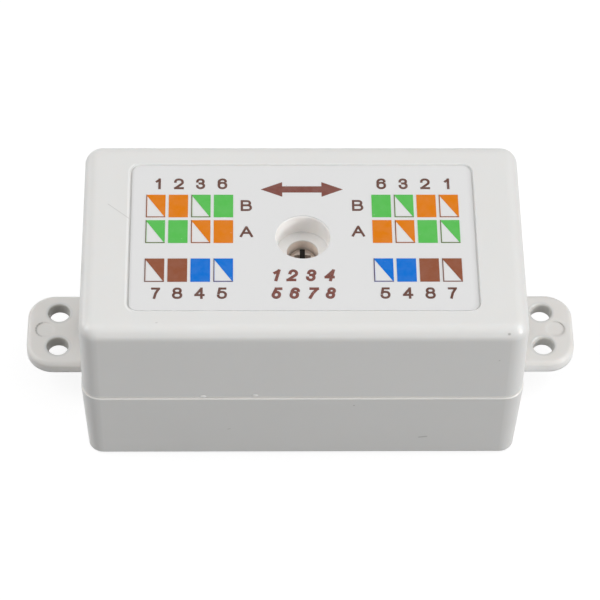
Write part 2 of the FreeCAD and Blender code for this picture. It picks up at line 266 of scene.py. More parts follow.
def vector_math(operation, first, second=(0.0, 0.0, 0.0)):
    """A Vector Math node. Returns its vector, or its number for an operation that gives one."""
    node = add(tree_of(first, second), "ShaderNodeVectorMath", {0: first, 1: second},
               operation=operation)
    return node.outputs["Value" if operation in ("DOT_PRODUCT", "DISTANCE", "LENGTH") else "Vector"]


# %% Group: moulded skin
tree, given, end = new_group(
    "moulded skin", "ShaderNodeTree",
    {"Vector": VECTOR, "Colour": COLOUR, "Clouds": 0.02, "Grain scale": 2400.0, "Gloss": 0.45},
    {"Colour": COLOUR, "Roughness": NUMBER, "Height": NUMBER})
clouds = noise(given["Vector"], 55.0, 3.0)
spread = calculate("MULTIPLY_ADD", clouds, given["Clouds"], 1.0)
level = calculate("SUBTRACT", spread, product(given["Clouds"], 0.5))
toned = add(tree, "ShaderNodeHueSaturation", {"Color": given["Colour"], "Value": level})
patches = noise(given["Vector"], 160.0, 2.0)
rough = calculate("MULTIPLY_ADD", patches, 0.10, given["Gloss"])
rough = calculate("SUBTRACT", rough, 0.05)
grain = noise(given["Vector"], given["Grain scale"], 2.0)
waves = noise(given["Vector"], 210.0, 1.0)
height = calculate("MULTIPLY_ADD", waves, 2.5, grain)
connect(tree, end, {"Colour": toned.outputs[0], "Roughness": rough, "Height": height})
moulded_skin = tree

# %% [markdown]
# The second group rounds off what CAD leaves sharp. A Bevel node bends the normals within a short
# distance of an edge, so that the edge catches the light as a real moulded edge does. How far the bent
# normal has turned from the true one also tells where the edges are, for a touch of wear there.

# %% Group: soft edge
tree, given, end = new_group(
    "soft edge", "ShaderNodeTree",
    {"Radius": 0.0002}, {"Normal": VECTOR, "Edge": NUMBER})
bevel = add(tree, "ShaderNodeBevel", {"Radius": given["Radius"]}, samples=6).outputs["Normal"]
flat = add(tree, "ShaderNodeNewGeometry").outputs["True Normal"]
edge = remap(vector_math("DOT_PRODUCT", bevel, flat), 0.98, 0.80)
connect(tree, end, {"Normal": bevel, "Edge": edge})
soft_edge = tree

# %% [markdown]
# The third group scatters specks: black pinheads in the plastic and dust that sits on it. A Voronoi
# texture splits space into cells, and only a few cells, chosen by their random colour, get a speck.

# %% Group: specks
tree, given, end = new_group(
    "specks", "ShaderNodeTree",
    {"Vector": VECTOR, "Scale": 300.0, "Share": 0.03, "Size": 0.06}, {"Mask": NUMBER})
cells = add(tree, "ShaderNodeTexVoronoi", {"Vector": given["Vector"], "Scale": given["Scale"]})
half_size = product(given["Size"], 0.5)
inside = remap(cells.outputs["Distance"], given["Size"], half_size)
picked = add(tree, "ShaderNodeSeparateColor", {"Color": cells.outputs["Color"]})
chosen = calculate("LESS_THAN", picked.outputs[0], given["Share"])
connect(tree, end, {"Mask": product(inside, chosen)})
specks = tree

# %% [markdown]
# The fourth group draws one straight mark, such as a hairline scratch or a short scuff. It measures how
# far each point is from the line between two ends, and fades out at the mark's half width. With both
# ends in one place it draws a dot.

# %% Group: straight mark
tree, given, end = new_group(
    "straight mark", "ShaderNodeTree",
    {"Vector": VECTOR, "Start": VECTOR, "End": VECTOR, "Half width": 0.0001}, {"Mask": NUMBER})
along = vector_math("SUBTRACT", given["End"], given["Start"])
from_start = vector_math("SUBTRACT", given["Vector"], given["Start"])
reach = vector_math("DOT_PRODUCT", from_start, along)
length_squared = vector_math("DOT_PRODUCT", along, along)
share = calculate("DIVIDE", reach, calculate("MAXIMUM", length_squared, 1e-12))
share = remap(share, 0.0, 1.0)
step = add(tree, "ShaderNodeVectorMath", {0: along, "Scale": share}, operation="SCALE")
gap = vector_math("DISTANCE", from_start, step.outputs[0])
connect(tree, end, {"Mask": remap(gap, given["Half width"], 0.0)})
straight_mark = tree

# %% [markdown]
# The fifth group is printing ink. Screen-printed colour covers the film unevenly: it is a little thinner
# here and there, and tiny pinholes let the pale film show through.

# %% Group: printed ink
def mix_colour(share, first, second):
    """A Mix node for colours. Returns its result."""
    node = add(share.id_data, "ShaderNodeMix", {0: share, 6: first, 7: second}, data_type="RGBA")
    return node.outputs[2]


tree, given, end = new_group(
    "printed ink", "ShaderNodeTree",
    {"Vector": VECTOR, "Colour": COLOUR, "Film": COLOUR, "Thin": 0.10},
    {"Colour": COLOUR, "Height": NUMBER})
mottle = noise(given["Vector"], 900.0, 4.0)
thinness = product(remap(mottle, 0.35, 0.75), given["Thin"])
holes = add(tree, "ShaderNodeGroup",
            {"Vector": given["Vector"], "Scale": 1500.0, "Share": 0.05, "Size": 0.25},
            node_tree=specks)
thinness = calculate("MULTIPLY_ADD", holes.outputs["Mask"], 0.12, thinness)
mixed = mix_colour(thinness, given["Colour"], given["Film"])
connect(tree, end, {"Colour": mixed, "Height": mottle})
printed_ink = tree

# %% [markdown]
# The last group is drawn or stamped metal: long fine streaks along one direction, which turn up in the
# colour, the roughness and the height.

# %% Group: drawn metal
tree, given, end = new_group(
    "drawn metal", "ShaderNodeTree",
    {"Vector": VECTOR, "Streaks": VECTOR, "Colour": COLOUR, "Gloss": 0.3},
    {"Colour": COLOUR, "Roughness": NUMBER, "Height": NUMBER})
streaks = noise(vector_math("MULTIPLY", given["Vector"], given["Streaks"]), 1.0, 3.0)
level = remap(streaks, 0.2, 0.8, 0.88, 1.08)
toned = add(tree, "ShaderNodeHueSaturation", {"Color": given["Colour"], "Value": level})
rough = calculate("MULTIPLY_ADD", streaks, 0.16, given["Gloss"])
rough = calculate("SUBTRACT", rough, 0.08)
connect(tree, end, {"Colour": toned.outputs[0], "Roughness": rough, "Height": streaks})
drawn_metal = tree

# %% [markdown]
# ## Finishes
# Each finish starts from an empty material with one Principled shader and Object coordinates. Every
# object here sits at the origin with its place in its mesh, so those coordinates are the box's own.

# %% Helpers for finishes
def new_finish(name, **settings):
    """Opens a material. Returns it with its tree, its shader and its coordinates."""
    material = bpy.data.materials.new(name)
    tree = empty_tree(material)
    shader = add(tree, "ShaderNodeBsdfPrincipled")
    for label, value in settings.items():
        shader.inputs[label.replace("_", " ")].default_value = value
    add(tree, "ShaderNodeOutputMaterial", {"Surface": shader.outputs[0]})
    place = add(tree, "ShaderNodeTexCoord")
    return material, tree, shader, place.outputs["Object"]


def use_group(group, place, **inputs):
    """Puts a shared group, with its own values, in the material of place. Returns its outputs."""
    values = {label.replace("_", " "): value for label, value in inputs.items()}
    if "Vector" in group.interface.items_tree:
        values["Vector"] = place
    return add(place.id_data, "ShaderNodeGroup", values, node_tree=group).outputs


def coat(shader, paint, height, depth, normal=None):
    """Wires a colour to the shader, and a height as a relief. depth is in thousandths of a millimetre."""
    inputs = {"Height": height, "Distance": depth * MM / 1000, "Strength": 1.0}
    if normal is not None:
        inputs["Normal"] = normal
    bump = add(shader.id_data, "ShaderNodeBump", inputs)
    shader.id_data.links.new(paint, shader.inputs["Base Color"])
    shader.id_data.links.new(bump.outputs["Normal"], shader.inputs["Normal"])


def dress(shader, layer, depth, paint=None, normal=None):
    """Wires what a shader group gives out. paint takes the place of the group's own colour."""
    coat(shader, layer["Colour"] if paint is None else paint, layer["Height"], depth, normal)
    shader.id_data.links.new(layer["Roughness"], shader.inputs["Roughness"])


def finish_node(material, *names):
    """Gives CAD solids their finish through their material slots."""
    for name in names:
        for slot in cad_nodes[name].material_slots:
            slot.material = material
    print("solids of", material.name + ":", len(names))


# %% [markdown]
# ## Case plastic
# Cover and base are moulded from the same off-white plastic, but the base is painted a touch darker, as
# painted shade. Masks made from the box's own coordinates paint light and shade into these regions: the
# ears paler as painted light, with a painted highlight on the edge of the right one, the walls of their
# tie holes darker as painted shade, the walls of the screw recess paler as painted light and the shaft
# below them warm, the groove round the label paler on its long sides and darker at its left end, a
# painted highlight on the lip beside that end, and a painted highlight along the rim between cover
# and base.

# %% Colours and measures of the case
COVER_COLOUR = (0.785, 0.782, 0.768, 1)
# the base is the cover's plastic painted a touch darker, as painted shade
SHADED_BASE_COLOUR = (0.745, 0.742, 0.728, 1)
RECESS_LIGHT_COLOUR = (1.0, 0.975, 0.95, 1)
PAINTED_LIGHT_COLOUR = (1.0, 1.0, 1.0, 1)
EAR_LIGHT_COLOUR = (0.83, 0.812, 0.785, 1)
LIT_EAR_EDGE_COLOUR = (0.97, 0.965, 0.95, 1)
LEFT_HOLE_SHADE = (0.48, 0.465, 0.43, 1)
RIGHT_HOLE_SHADE = (0.70, 0.69, 0.66, 1)
SHAFT_COLOUR = (0.90, 0.81, 0.735, 1)
RIM_HIGHLIGHT_COLOUR = (1.0, 0.965, 0.915, 1)
# real dirt and dust, and also painted shade
DIRT_AND_SHADE_COLOUR = (0.16, 0.14, 0.12, 1)
TOP_CORNER = Vector((31.7, 17.3, 29.3)) * MM

# the measures below are in millimetres
CASE_END = 33.3                 # the ears begin here
EAR_TOP = 7.8
TIE_HOLE, HOLE_RADIUS = (37.3, 3.2), 1.6     # the hole nearest the back right corner
PANEL_HALF = (25.8, 14.05)      # half the sunken panel's length and width
PANEL_CORNER = 1.6
RECESS_RADIUS, RECESS_FLOOR = 4.0, 26.6
SHAFT_RADIUS = 2.35
RIM_HEIGHT = 15.03


def coordinates(place):
    """The X, Y and Z of a place, as three outputs."""
    return add(place.id_data, "ShaderNodeSeparateXYZ", {"Vector": place}).outputs


def fade(value, none, full):
    """A mask that grows from 0, where the value is at none, to 1, at full, both in millimetres."""
    return remap(value, none * MM, full * MM)


def distance_across(point, axis=(0.0, 0.0)):
    """How far a point is from an upright axis, whose x and y are in millimetres."""
    offset = vector_math("SUBTRACT", point, (axis[0] * MM, axis[1] * MM, 0.0))
    return vector_math("LENGTH", vector_math("MULTIPLY", offset, (1.0, 1.0, 0.0)))


def distance_past(point, half_sizes, corner):
    """How far a point lies outside a rectangle with round corners, all sizes in millimetres."""
    straight = ((half_sizes[0] - corner) * MM, (half_sizes[1] - corner) * MM, 0.0)
    past = vector_math("SUBTRACT", vector_math("ABSOLUTE", point), straight)
    kept = vector_math("MAXIMUM", past)
    return calculate("SUBTRACT", distance_across(kept), corner * MM)


print("panel", [2 * half for half in PANEL_HALF], "mm")


# %% Tones by region
def ear_masks(place):
    """Two masks: the ears away from their tie holes, and the walls of those holes."""
    from_hole = distance_across(vector_math("ABSOLUTE", place), TIE_HOLE)
    past_case = fade(calculate("ABSOLUTE", coordinates(place)["X"]), CASE_END, CASE_END + 0.5)
    on_ear = product(past_case, fade(from_hole, HOLE_RADIUS + 0.3, HOLE_RADIUS + 0.6))
    return on_ear, fade(from_hole, HOLE_RADIUS + 0.2, HOLE_RADIUS + 0.02)


def tone_ears(place, paint, on_ear, in_hole):
    """Paints the ears paler as painted light, a painted highlight on the right ear's edge, and painted
    shade in the tie holes.
    """
    spot = coordinates(place)
    at_right = fade(spot["X"], -1.0, 1.0)
    # the ears painted paler than the base, as painted light
    paint = mix_colour(on_ear, paint, EAR_LIGHT_COLOUR)
    # painted highlight on the edge and sides of the right ear, below its top
    lit_ear_edge = product(on_ear, fade(spot["Z"], EAR_TOP - 0.3, EAR_TOP - 0.8), at_right)
    paint = mix_colour(lit_ear_edge, paint, LIT_EAR_EDGE_COLOUR)
    # painted shade on the walls of the tie holes, deeper in the left ones
    hole_shade = mix_colour(at_right, LEFT_HOLE_SHADE, RIGHT_HOLE_SHADE)
    return mix_colour(in_hole, paint, hole_shade)


def tone_recess(place, paint):
    """Paints the walls of the screw recess paler, as painted light, and the shaft below them warm."""
    height = coordinates(place)["Z"]
    from_axis = distance_across(place)
    # painted light on the walls of the screw recess
    wall_light = product(fade(from_axis, RECESS_RADIUS + 0.25, RECESS_RADIUS + 0.05),
                      fade(height, RECESS_FLOOR - 0.05, RECESS_FLOOR + 0.15))
    paint = mix_colour(wall_light, paint, RECESS_LIGHT_COLOUR)
    in_shaft = product(fade(height, RECESS_FLOOR - 0.05, RECESS_FLOOR - 0.30),
                       fade(from_axis, SHAFT_RADIUS + 0.25, SHAFT_RADIUS + 0.10))
    return mix_colour(in_shaft, paint, SHAFT_COLOUR)


def tone_edges(place, paint):
    """Paints light and shade in the label's groove, on its left lip and along the parting rim."""
    spot = coordinates(place)
    past_panel = distance_past(place, PANEL_HALF, PANEL_CORNER)
    groove = product(fade(past_panel, -0.40, -0.32), fade(past_panel, 0.10, 0.02))
    outer, inner = PANEL_HALF[0] - 0.4, PANEL_HALF[0] - 0.9
    off_ends = fade(calculate("ABSOLUTE", spot["X"]), outer, inner)
    towards_front = remap(spot["Y"], 1.0 * MM, -1.0 * MM, 0.45, 1.0)
    # painted light on the groove's long sides, strongest towards the front
    paint = mix_colour(product(groove, off_ends, towards_front), paint, PAINTED_LIGHT_COLOUR)
    # painted shade in the groove at the label's left end
    at_left = fade(spot["X"], -inner, -outer)
    paint = mix_colour(product(groove, at_left, 0.10), paint, DIRT_AND_SHADE_COLOUR)
    # painted highlight on the lip just outside the groove's left end
    lip = product(fade(past_panel, 0.05, 0.12), fade(past_panel, 0.42, 0.30))
    paint = mix_colour(product(lip, at_left, 0.35), paint, PAINTED_LIGHT_COLOUR)
    # painted highlight along the rim between cover and base
    above_rim = calculate("SUBTRACT", spot["Z"], RIM_HEIGHT * MM)
    from_rim = calculate("ABSOLUTE", above_rim)
    return mix_colour(product(fade(from_rim, 0.34, 0.20), 0.8), paint, RIM_HIGHLIGHT_COLOUR)


# %% [markdown]
# The marks of use and the painted highlights and shade belong to each half, so one function builds the
# shared finish and takes a list of marks: hairlines, dots, spots of painted highlight and arcs of painted
# shade, each with its two ends in millimetres, its half width, its strength and its colour. Such plastic
# lets a little light in and out again, so thin walls and the mouth of the recess look soft; a small
# subsurface share does that.

# %% Finish of one half
def add_marks(place, paint, marks):
    """Draws the marks over the paint: marks of use, painted highlights and painted shade."""
    for start, stop, half_width, strength, mark_colour in marks:
        mark = use_group(straight_mark, place, Start=Vector(start) * MM,
                         End=Vector(stop) * MM, Half_width=half_width * MM)
        paint = mix_colour(product(mark["Mask"], strength), paint, mark_colour)
    return paint


def add_dust(place, paint, scale, share, size, strength):
    """Scatters specks over the paint."""
    dots = use_group(specks, place, Scale=scale, Share=share, Size=size)
    return mix_colour(product(dots["Mask"], strength), paint, DIRT_AND_SHADE_COLOUR)


def shell_plastic(name, colour, marks):
    """The finish of one half. The ears have a wide soft edge, but their tie holes stay crisp."""
    material, tree, shader, place = new_finish(name, IOR=1.53, Specular_IOR_Level=0.42,
                                               Subsurface_Weight=0.30, Subsurface_Scale=1.0 * MM,
                                               Subsurface_Radius=(1.0, 0.85, 0.75))
    skin = use_group(moulded_skin, place, Colour=colour, Clouds=0.03, Grain_scale=2400.0, Gloss=0.34)
    on_ear, in_hole = ear_masks(place)
    reach = calculate("MULTIPLY_ADD", on_ear, 0.45 * MM, 0.20 * MM)
    rim = use_group(soft_edge, place, Radius=reach)
    paint = tone_ears(place, skin["Colour"], on_ear, in_hole)
    paint = tone_edges(place, tone_recess(place, paint))
    paint = add_dust(place, add_marks(place, paint, marks), 230.0, 0.035, 0.035, 0.35)
    coat(shader, paint, skin["Height"], 4.5, rim["Normal"])
    worn = calculate("MULTIPLY_ADD", rim["Edge"], -0.02, skin["Roughness"])
    in_front = fade(coordinates(place)["Y"], -15.0, -16.0)
    to_corner = vector_math("DISTANCE", vector_math("ABSOLUTE", place), TOP_CORNER)
    polished = product(in_front, fade(to_corner, 2.6, 1.6), 0.025)
    tree.links.new(calculate("SUBTRACT", worn, polished), shader.inputs["Roughness"])
    return material


def arc_marks(centre, radius, low, high, z, half_width, strength):
    """Short marks that follow a stretch of a circle, its angles in degrees."""
    steps = round((high - low) / 20)
    ends = []
    for step in range(steps + 1):
        angle = math.radians(low + (high - low) * step / steps)
        ends.append((centre[0] + radius * math.cos(angle), centre[1] + radius * math.sin(angle), z))
    return [(start, stop, half_width, strength, DIRT_AND_SHADE_COLOUR) for start, stop in zip(ends, ends[1:])]


# %% Marks of use, painted highlights and painted shade
# painted highlights on the cover's two top front corners
RIGHT_GLINT = (31.31, -17.12, 30.08)
LEFT_GLINT = (-31.66, -16.86, 30.08)

cover_marks = [
    ((-29.02, 6.18, 30.5), (-25.58, 3.18, 30.5), 0.10, 0.30, DIRT_AND_SHADE_COLOUR),
    ((29.62, -17.79, 29.81), (29.72, -17.79, 29.81), 0.26, 0.65, DIRT_AND_SHADE_COLOUR),
    ((28.58, -18.30, 24.10), (28.62, -18.30, 24.10), 0.16, 0.40, DIRT_AND_SHADE_COLOUR),
    ((-21.52, -16.16, 30.5), (-21.30, -16.10, 30.5), 0.12, 0.30, DIRT_AND_SHADE_COLOUR),
    (RIGHT_GLINT, RIGHT_GLINT, 0.65, 0.9, PAINTED_LIGHT_COLOUR),
    (LEFT_GLINT, LEFT_GLINT, 0.55, 0.8, PAINTED_LIGHT_COLOUR),
]
base_marks = [
    ((7.60, -18.42, 13.13), (7.66, -18.42, 13.13), 0.17, 0.50, DIRT_AND_SHADE_COLOUR),
    ((17.75, -18.05, 4.44), (18.85, -18.07, 4.64), 0.23, 0.42, DIRT_AND_SHADE_COLOUR),
    ((-11.2, -18.15, 6.75), (-10.85, -18.15, 6.85), 0.13, 0.35, DIRT_AND_SHADE_COLOUR),
]
# painted shade along the rims of the two ejector marks on the ears, deeper on the left
base_marks += arc_marks((-39.4, 0.0), 1.40, 110, 250, EAR_TOP - 0.05, 0.20, 0.35)
base_marks += arc_marks((39.4, 0.0), 1.40, -60, 60, EAR_TOP - 0.05, 0.16, 0.12)
finish_node(shell_plastic("cover plastic", COVER_COLOUR, cover_marks), "cover")
finish_node(shell_plastic("base plastic", SHADED_BASE_COLOUR, base_marks), "base")

# %% [markdown]
# ## Label film and its inks
# The label is a thin matt film. The CAD model has it and its colour fields as solids, so here they only
# need the film's faint fibre, the ink's uneven cover, and a little shade where the film's ends meet the
# edge of the panel.

# %% Film and ink
FILM_COLOUR = (0.79, 0.79, 0.79, 1)
FILM_HALF = 25.5              # half the film's length, in millimetres

film, tree, shader, place = new_finish("label film", IOR=1.46, Specular_IOR_Level=0.3)
skin = use_group(moulded_skin, place, Colour=FILM_COLOUR, Clouds=0.02, Grain_scale=5200.0, Gloss=0.52)
paint = add_dust(place, skin["Colour"], 420.0, 0.02, 0.05, 0.25)
along_film = coordinates(place)["X"]
# painted shade on the film's two ends, beside the edge of the panel
right_end = remap(along_film, (FILM_HALF - 0.9) * MM, FILM_HALF * MM, 0.0, 0.065)
left_end = remap(along_film, (0.35 - FILM_HALF) * MM, (0.15 - FILM_HALF) * MM, 0.0, 0.07)
shaded = calculate("ADD", right_end, left_end)
dress(shader, skin, 3.0, mix_colour(shaded, paint, DIRT_AND_SHADE_COLOUR))
finish_node(film, "label")


def ink(name, colour, thin=0.035):
    """A screen-printed colour on the film."""
    material, tree, shader, place = new_finish(name, IOR=1.5, Specular_IOR_Level=0.12, Roughness=0.50)
    layer = use_group(printed_ink, place, Colour=colour, Film=FILM_COLOUR, Thin=thin)
    coat(shader, layer["Colour"], layer["Height"], 4.0)
    return material


INKS = {
    "print_orange": (0.76, 0.210, 0.004, 1),
    "print_green": (0.105, 0.53, 0.095, 1),
    "print_blue": (0.002, 0.170, 0.67, 1),
    "print_brown": (0.285, 0.090, 0.044, 1),
}
for name, colour in INKS.items():
    finish_node(ink(name.replace("_", " ") + " ink", colour), name)
line_ink = ink("dark brown ink", (0.145, 0.062, 0.045, 1), 0.06)
print(len(INKS) + 1, "inks")

# %% [markdown]
# ## Helpers for pieces
# Two ways of making a piece recur below. A mesh built point by point is finished by the first helper.
# The second runs a Geometry Nodes tree on loose points and edges and keeps the result as a plain mesh.

# %% Helpers for meshes built in code
def register(piece):
    """Hangs a piece under the root body and prints how many faces it has."""
    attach(piece, "root")
    print(piece.name, len(piece.data.polygons), "faces")
    return piece


def keep_mesh(name, mesh):
    """Stores a bmesh as the mesh of a new object, its faces turned outwards."""
    bmesh.ops.recalc_face_normals(mesh, faces=mesh.faces)
    data = bpy.data.meshes.new(name)
    mesh.to_mesh(data)
    mesh.free()
    return add_object(name, data)


def new_piece(name, mesh, material):
    """Makes a piece of a finished bmesh."""
    bmesh.ops.remove_doubles(mesh, verts=mesh.verts, dist=1e-7)
    piece = keep_mesh(name, mesh)
    piece.data.materials.append(material)
    return register(piece)


# %% Helpers for pieces made by Geometry Nodes
def grow(name, points, edges, tree, values, material, corners=()):
    """Runs a Geometry Nodes tree on loose points and edges, and keeps the result as a plain mesh.

    corners gives each point the radius that rounds it, for a tree that reads the attribute.
    """
    data = bpy.data.meshes.new(name)
    data.from_pydata(points, edges, [])
    if corners:
        data.attributes.new("corner", "FLOAT", "POINT").data.foreach_set("value", corners)
    piece = add_object(name, data)
    modifier = piece.modifiers.new("grow", "NODES")
    modifier.node_group = tree
    sockets = {item.name: item.identifier for item in tree.interface.items_tree
               if item.in_out == "INPUT"}
    for label, value in values.items():
        modifier[sockets[label]] = value
    modifier[sockets["Material"]] = material
    graph = bpy.context.evaluated_depsgraph_get()
    grown = bpy.data.meshes.new_from_object(piece.evaluated_get(graph))
    piece.modifiers.remove(modifier)
    piece.data = grown
    bpy.data.meshes.remove(data)
    grown.name = name
    return register(piece)


def new_geometry(name, sizes):
    """Opens a Geometry Nodes tree with a length for each named size. Returns it, inputs and output."""
    inputs = {"Geometry": GEOMETRY, "Material": "NodeSocketMaterial", **dict.fromkeys(sizes, NUMBER)}
    return new_group(name, "GeometryNodeTree", inputs, {"Geometry": GEOMETRY})


def close_geometry(tree, given, end, shape):
    """Ends a tree in real geometry with its material set."""
    real = add(tree, "GeometryNodeRealizeInstances", {"Geometry": shape})
    painted = add(tree, "GeometryNodeSetMaterial",
                  {"Geometry": real.outputs[0], "Material": given["Material"]})
    connect(tree, end, {"Geometry": painted.outputs[0]})


# %% [markdown]
# ## Pin numbers and row letters
# The label numbers the eight wires of each side. A plain character is a few strokes of even width, so
# it is written down as the middle lines of its strokes, in shares of the character's height. An inner
# point has the radius that rounds it. An end has how much of the half width the stroke runs on past it.
# A tree rounds the corners and runs a flat section along the lines. The same strokes serve every size,
# weight and slant on the label.

# %% Strokes of the characters
STROKES = {
    "1": [[(0.06, 0.77, 1), (0.31, 0.95, 0)],
          [(0.34, 1, 1), (0.34, 0, 1)]],
    "2": [[(0, 0.74, 1), (0, 1, 0.27), (0.56, 1, 0.27), (0.56, 0.56, 0.25), (0, 0, 0.2)],
          [(0, 0, 1), (0.57, 0, 1)]],
    "3": [[(0, 0.76, 1), (0, 1, 0.25), (0.53, 1, 0.24), (0.53, 0.54, 0.22), (0.22, 0.54, 1)],
          [(0.22, 0.54, 0), (0.57, 0.54, 0.26), (0.57, 0, 0.27), (0, 0, 0.27), (0, 0.25, 1)]],
    "4": [[(0.45, 0, 1), (0.45, 1, 1)],
          [(0.45, 1, 0.2), (0, 0.3, 0.2)],
          [(0, 0.3, 1), (0.6, 0.3, 1)]],
    "5": [[(0.11, 1, 1), (0.52, 1, 1)],
          [(0.11, 1, 0), (0.03, 0.5, 1)],
          [(0.03, 0.52, 0), (0.16, 0.63, 0.17), (0.57, 0.63, 0.28), (0.57, 0, 0.29), (0, 0, 0.27),
           (0, 0.24, 1)]],
    "6": [[(0.54, 0.78, 1), (0.54, 1, 0.22), (0, 1, 0.3), (0, 0.3, 0)],
          [(0, 0.31, 0), (0, 0, 0.28), (0.57, 0, 0.28), (0.57, 0.62, 0.28), (0, 0.62, 0.27),
           (0, 0.31, 0)]],
    "7": [[(0, 1, 1), (0.58, 1, 1)],
          [(0.58, 1, 0), (0.3, 0.5, 0.4), (0.18, 0, 1)]],
    "8": [[(0.28, 0.54, 0), (0.04, 0.54, 0.22), (0.04, 1, 0.22), (0.53, 1, 0.22), (0.53, 0.54, 0.22),
           (0.28, 0.54, 0)],
          [(0.28, 0.54, 0), (0, 0.54, 0.26), (0, 0, 0.26), (0.57, 0, 0.26), (0.57, 0.54, 0.26),
           (0.28, 0.54, 0)]],
    "A": [[(0, 0, 1), (0.36, 1, 0.6)],
          [(0.36, 1, 0.6), (0.72, 0, 1)],
          [(0.14, 0.35, 0), (0.58, 0.35, 0)]],
    "B": [[(0, 0, 1), (0, 1, 1)],
          [(0, 1, 1), (0.56, 1, 0.23), (0.56, 0.53, 0.23), (0, 0.53, 1)],
          [(0, 0.53, 1), (0.62, 0.53, 0.26), (0.62, 0, 0.26), (0, 0, 1)]],
}
LAYER = 0.003 * MM            # each next stroke lies this much higher, so that no two share a plane
INK_THICKNESS = 0.03 * MM
film_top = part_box("label")[1].z


def character_width(character):
    """The width of a character's middle lines, as a share of its height."""
    return max(x for stroke in STROKES[character] for x, y, ending in stroke)


def write(lines, weight, text, centre, height, width, slant):
    """Adds the middle lines of a string to lines, a dictionary of points, edges and corners.

    All sizes are in millimetres. Several characters spread over the width, and a single one
    stretches to it.
    """
    inner = height - weight
    room = (width - weight) / inner
    own = sum(character_width(character) for character in text)
    stretch = room / own if len(text) == 1 else 1.0
    gap = (room - own) / (len(text) - 1) if len(text) > 1 else 0.0
    total = own + gap * (len(text) - 1)
    start = 0.0
    for character in text:
        for order, stroke in enumerate(STROKES[character]):
            flat = [Vector(((start + x - total / 2) * stretch + slant * (y - 0.5), y - 0.5)) * inner
                    for x, y, ending in stroke]
            flat[0] += (flat[0] - flat[1]).normalized() * stroke[0][2] * weight / 2
            flat[-1] += (flat[-1] - flat[-2]).normalized() * stroke[-1][2] * weight / 2
            first = len(lines["points"])
            z = film_top + INK_THICKNESS / 2 + order * LAYER
            lines["points"] += [((centre[0] + p.x) * MM, (centre[1] + p.y) * MM, z) for p in flat]
            lines["corners"] += [radius * inner * MM for x, y, radius in stroke]
            lines["edges"] += [(first + n, first + n + 1) for n in range(len(stroke) - 1)]
        start += character_width(character) + gap


# %% Tree for printed strokes
def sweep(tree, curve, section, **settings):
    """Runs a section along a curve and closes its ends. Returns the mesh."""
    inputs = {"Curve": curve.outputs[0], "Profile Curve": section.outputs[0], "Fill Caps": True}
    return add(tree, "GeometryNodeCurveToMesh", {**inputs, **settings}).outputs[0]


def flat_strips(tree, given, end, radius, count, limit):
    """Ends a tree that rounds the corners of loose edges and runs a flat section along them."""
    lines = add(tree, "GeometryNodeMeshToCurve", {"Mesh": given["Geometry"]})
    rounded = add(tree, "GeometryNodeFilletCurve",
                  {"Curve": lines.outputs[0], "Count": count, "Radius": radius, "Limit Radius": limit},
                  mode="POLY")
    flat_up = add(tree, "GeometryNodeSetCurveNormal", {"Curve": rounded.outputs[0]}, mode="Z_UP")
    section = add(tree, "GeometryNodeCurvePrimitiveQuadrilateral",
                  {"Width": given["Width"], "Height": given["Thickness"]})
    close_geometry(tree, given, end, sweep(tree, flat_up, section))


tree, given, end = new_geometry("printed strokes", ["Width", "Thickness"])
corner = add(tree, "GeometryNodeInputNamedAttribute", {"Name": "corner"}, data_type="FLOAT")
flat_strips(tree, given, end, corner.outputs["Attribute"], 5, True)
printed_strokes = tree


def print_texts(name, texts, weight, material):
    """Makes a printed piece. Each text has its string, its centre, its height, its width and its slant."""
    lines = {"points": [], "edges": [], "corners": []}
    for text in texts:
        write(lines, weight, *text)
    grow(name, lines["points"], lines["edges"], printed_strokes,
         {"Width": weight * MM, "Thickness": INK_THICKNESS}, material, lines["corners"])


# %% Numbers and letters
NUMBER_HEIGHT, NUMBER_WEIGHT = 2.08, 0.37
NUMBER_WIDTHS = {"1": 0.86, "2": 1.47, "3": 1.36, "4": 1.50, "5": 1.46, "6": 1.44, "7": 1.32, "8": 1.50}
COLUMNS = (-21.65, -18.49, -15.24, -11.96, 11.91, 15.21, 18.50, 21.73)
NUMBER_ROWS = {10.27: "12366321", -10.60: "78455487"}
LETTER_HEIGHT, LETTER_WEIGHT = 2.10, 0.35
LETTER_WIDTHS = {"B": 1.68, "A": 1.95}
ROW_LETTERS = {"B": ((-8.38, 6.02), (8.26, 6.04)), "A": ((-8.38, 1.01), (8.23, 1.10))}

numbers = [(character, (x, y), NUMBER_HEIGHT, NUMBER_WIDTHS[character], 0.0)
           for y, row in NUMBER_ROWS.items() for x, character in zip(COLUMNS, row)]
print_texts("pin_numbers", numbers, NUMBER_WEIGHT, line_ink)
letters = [(character, centre, LETTER_HEIGHT, LETTER_WIDTHS[character], 0.0)
           for character, centres in ROW_LETTERS.items() for centre in centres]
print_texts("row_letters", letters, LETTER_WEIGHT, line_ink)

# %% [markdown]
# ## Middle of the label
# Above and below the screw stand marks in bold slanted brown. Above it is a plain arrow with two heads,
# for the way the wires run through, and below it are the eight wires' numbers in two rows.

# %% Arrow and wire numbers
BOLD_INK = ink("bold brown ink", (0.215, 0.075, 0.058, 1), 0.06)
ARROW_LEFT, ARROW_RIGHT = -6.2, 6.1
ARROW_LOW, ARROW_HIGH = 7.75, 10.6
ARROW_HEAD = 3.2
ARROW_SHAFT = 1.2             # width of the shaft between the heads
BOLD_WEIGHT = 0.46

arrow_middle = (ARROW_LOW + ARROW_HIGH) / 2
shaft_low, shaft_high = arrow_middle - ARROW_SHAFT / 2, arrow_middle + ARROW_SHAFT / 2
left_head, right_head = ARROW_LEFT + ARROW_HEAD, ARROW_RIGHT - ARROW_HEAD
outline = [
    (ARROW_LEFT, arrow_middle), (left_head, ARROW_LOW), (left_head, shaft_low),
    (right_head, shaft_low), (right_head, ARROW_LOW), (ARROW_RIGHT, arrow_middle),
    (right_head, ARROW_HIGH), (right_head, shaft_high), (left_head, shaft_high),
    (left_head, ARROW_HIGH),
]


